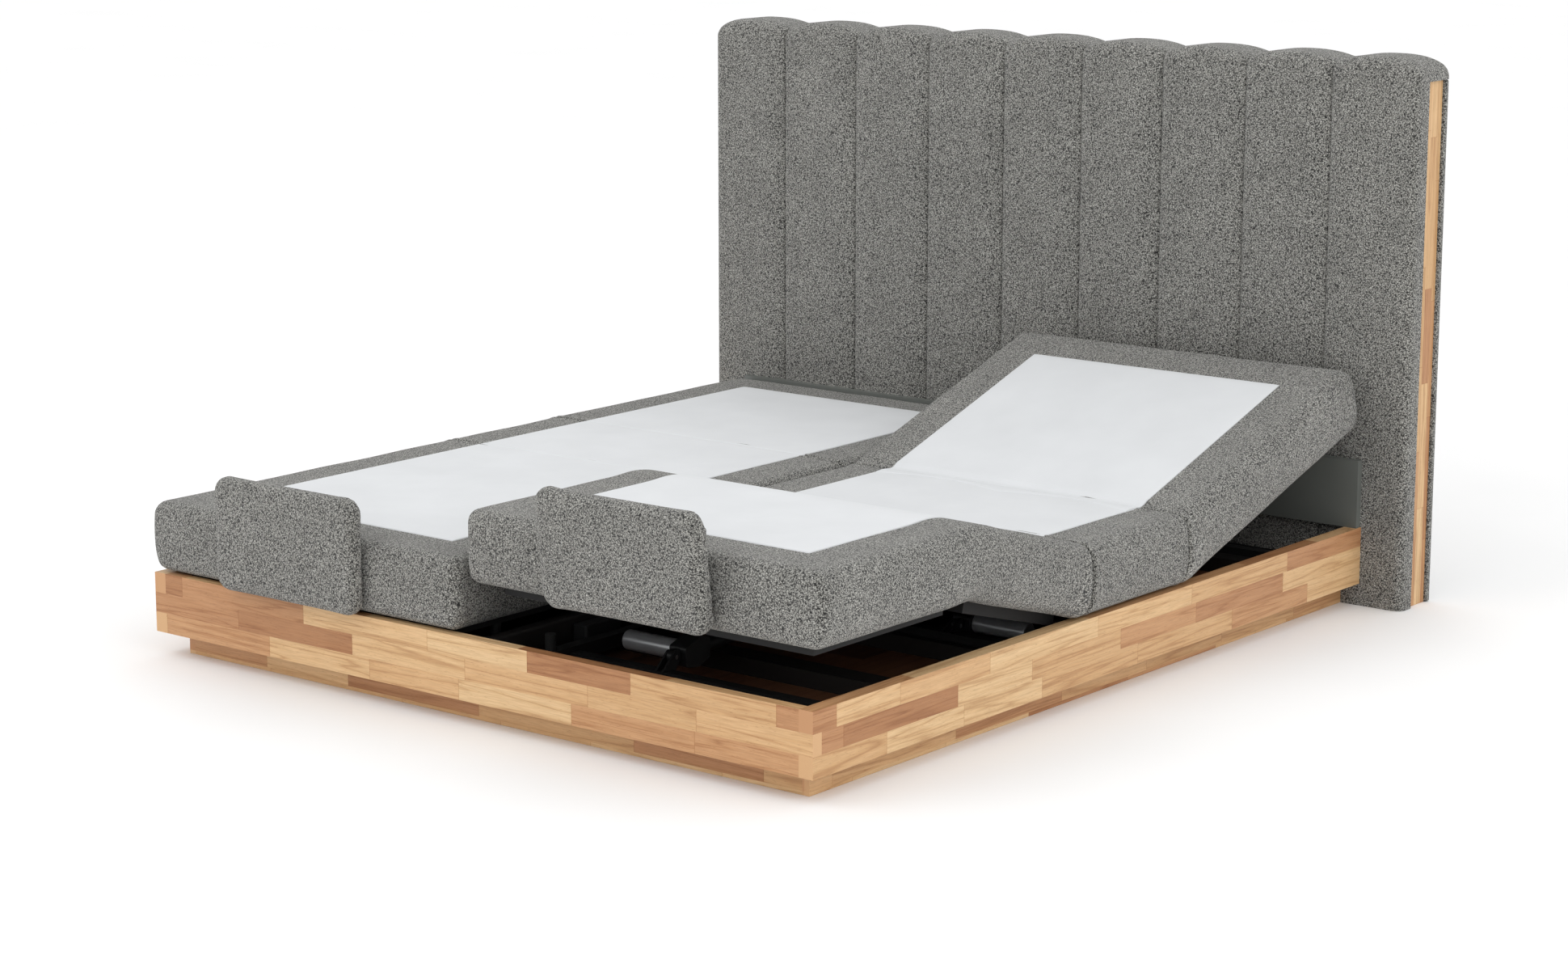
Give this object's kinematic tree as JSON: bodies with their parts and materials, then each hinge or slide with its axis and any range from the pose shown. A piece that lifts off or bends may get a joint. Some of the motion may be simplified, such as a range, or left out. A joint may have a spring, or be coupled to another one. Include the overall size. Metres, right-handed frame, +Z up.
{
  "type": "adjustable bed base",
  "caption": "Double bed frame in oiled wood with upholstered headboard and two upholstered motor boxes whose back, thigh and leg sections fold.",
  "frame": {"origin": "on the floor, centre of the whole object's footprint", "axes": "+Z up, +Y from the foot towards the headboard, +X to the right seen from the foot"},
  "size_m": [2.127, 2.3356, 1.312],
  "materials": {
    "beech": "oiled, edge-glued staves",
    "board": "laminated board",
    "black_wood": "painted dark",
    "grey_board": "dark lacquer",
    "core_wood": "raw panel",
    "grey_fabric": "boucle",
    "white_fabric": "smooth anti-slip cloth",
    "steel": "powder coated",
    "pins": "zinc plated",
    "rubber": "moulded",
    "drive_plastic": "moulded",
    "motor_can": "gun metal",
    "rod_steel": "ground"
  },
  "bodies": {
    "frame": {"side_rail_left": "beech", "side_rail_right": "beech", "foot_rail": "beech", "plinth_sides": "beech", "plinth_ends": "beech", "floor_boards": "board", "cross_beams": "black_wood", "centre_beam": "black_wood", "frame_brackets": "steel", "headboard_bolts": "pins", "headboard_core": "core_wood", "headboard_cushion": "grey_fabric", "headboard_rear_pad": "grey_fabric", "headboard_strips": "beech", "head_plate": "grey_board", "rest_buffers": "rubber", "control_boxes": "drive_plastic", "pivot_pins": "pins", "left_base_frame": "steel", "left_seat_box": "grey_fabric", "left_seat_top": "white_fabric", "right_base_frame": "steel", "right_seat_box": "grey_fabric", "right_seat_top": "white_fabric"},
    "left_back": {"left_back_box": "grey_fabric", "left_back_top": "white_fabric", "left_back_frame": "steel"},
    "left_thigh": {"left_thigh_box": "grey_fabric", "left_thigh_top": "white_fabric", "left_thigh_frame": "steel", "left_knee_pins": "pins"},
    "left_leg": {"left_leg_box": "grey_fabric", "left_leg_top": "white_fabric", "left_leg_frame": "steel", "left_stop_pad": "grey_fabric", "left_stop_bars": "steel"},
    "left_leg_drive": {"left_leg_actuator": "drive_plastic", "left_leg_motor": "motor_can"},
    "left_leg_rod": {"left_leg_rod": "rod_steel"},
    "left_back_drive": {"left_back_actuator": "drive_plastic", "left_back_motor": "motor_can"},
    "left_back_rod": {"left_back_rod": "rod_steel"},
    "right_back": {"right_back_box": "grey_fabric", "right_back_top": "white_fabric", "right_back_frame": "steel"},
    "right_thigh": {"right_thigh_box": "grey_fabric", "right_thigh_top": "white_fabric", "right_thigh_frame": "steel", "right_knee_pins": "pins"},
    "right_leg": {"right_leg_box": "grey_fabric", "right_leg_top": "white_fabric", "right_leg_frame": "steel", "right_stop_pad": "grey_fabric", "right_stop_bars": "steel"},
    "right_leg_drive": {"right_leg_actuator": "drive_plastic", "right_leg_motor": "motor_can"},
    "right_leg_rod": {"right_leg_rod": "rod_steel"},
    "right_back_drive": {"right_back_actuator": "drive_plastic", "right_back_motor": "motor_can"},
    "right_back_rod": {"right_back_rod": "rod_steel"}
  },
  "joints": [
    {"name": "left_back_lift", "type": "hinge", "parent": "frame", "child": "left_back", "pos_m": [-0.48, 0.21979, 0.345], "axis": [1, 0, 0], "range_deg": [0, 55]},
    {"name": "left_thigh_lift", "type": "hinge", "parent": "frame", "child": "left_thigh", "pos_m": [-0.48, -0.16021, 0.345], "axis": [-1, 0, 0], "range_deg": [0, 35]},
    {"name": "left_knee_fold", "type": "hinge", "parent": "left_thigh", "child": "left_leg", "pos_m": [-0.48, -0.56521, 0.345], "axis": [1, 0, 0], "range_deg": [-0.01, 35.01]},
    {"name": "left_leg_drive_swing", "type": "hinge", "parent": "frame", "child": "left_leg_drive", "pos_m": [-0.615, -0.82021, 0.146], "axis": [1, 0, 0], "range_deg": [-0.05, 6.45]},
    {"name": "left_leg_stroke", "type": "slide", "parent": "left_leg_drive", "child": "left_leg_rod", "axis": [0, 0.9999, 0.0148], "range_m": [-0.0992, 0.0002]},
    {"name": "left_back_drive_swing", "type": "hinge", "parent": "frame", "child": "left_back_drive", "pos_m": [-0.345, -0.17521, 0.13], "axis": [1, 0, 0], "range_deg": [-0.05, 0.39]},
    {"name": "left_back_stroke", "type": "slide", "parent": "left_back_drive", "child": "left_back_rod", "axis": [0, 0.9995, 0.0312], "range_m": [-0.0002, 0.2023]},
    {"name": "right_back_lift", "type": "hinge", "parent": "frame", "child": "right_back", "pos_m": [0.48, 0.21979, 0.345], "axis": [1, 0, 0], "range_deg": [-18.1, 36.9]},
    {"name": "right_thigh_lift", "type": "hinge", "parent": "frame", "child": "right_thigh", "pos_m": [0.48, -0.16021, 0.345], "axis": [-1, 0, 0], "range_deg": [-15.5, 19.5]},
    {"name": "right_knee_fold", "type": "hinge", "parent": "right_thigh", "child": "right_leg", "pos_m": [0.48, -0.55049, 0.45323], "axis": [1, 0, 0], "range_deg": [-15.51, 19.51]},
    {"name": "right_leg_drive_swing", "type": "hinge", "parent": "frame", "child": "right_leg_drive", "pos_m": [0.345, -0.82021, 0.146], "axis": [1, 0, 0], "range_deg": [-3.14, 3.93]},
    {"name": "right_leg_stroke", "type": "slide", "parent": "right_leg_drive", "child": "right_leg_rod", "axis": [0, 0.9986, 0.0521], "range_m": [-0.0527, 0.0419]},
    {"name": "right_back_drive_swing", "type": "hinge", "parent": "frame", "child": "right_back_drive", "pos_m": [0.615, -0.17521, 0.13], "axis": [1, 0, 0], "range_deg": [-1.2, 2.39]},
    {"name": "right_back_stroke", "type": "slide", "parent": "right_back_drive", "child": "right_back_rod", "axis": [0, 1, -0.0081], "range_m": [-0.0667, 0.1358]}
  ],
  "couplings": [
    {"joint": "left_knee_fold", "follows": "left_thigh_lift", "ratio": 1},
    {"joint": "left_leg_drive_swing", "follows": "left_thigh_lift", "ratio": 0.183},
    {"joint": "left_leg_stroke", "follows": "left_thigh_lift", "m_per_rad": -0.16215},
    {"joint": "left_back_drive_swing", "follows": "left_back_lift", "ratio": 0.00612},
    {"joint": "left_back_stroke", "follows": "left_back_lift", "m_per_rad": 0.21053},
    {"joint": "right_knee_fold", "follows": "right_thigh_lift", "ratio": 1},
    {"joint": "right_leg_drive_swing", "follows": "right_thigh_lift", "ratio": 0.19913},
    {"joint": "right_leg_stroke", "follows": "right_thigh_lift", "m_per_rad": -0.15421},
    {"joint": "right_back_drive_swing", "follows": "right_back_lift", "ratio": 0.06348},
    {"joint": "right_back_stroke", "follows": "right_back_lift", "m_per_rad": 0.21048}
  ]
}
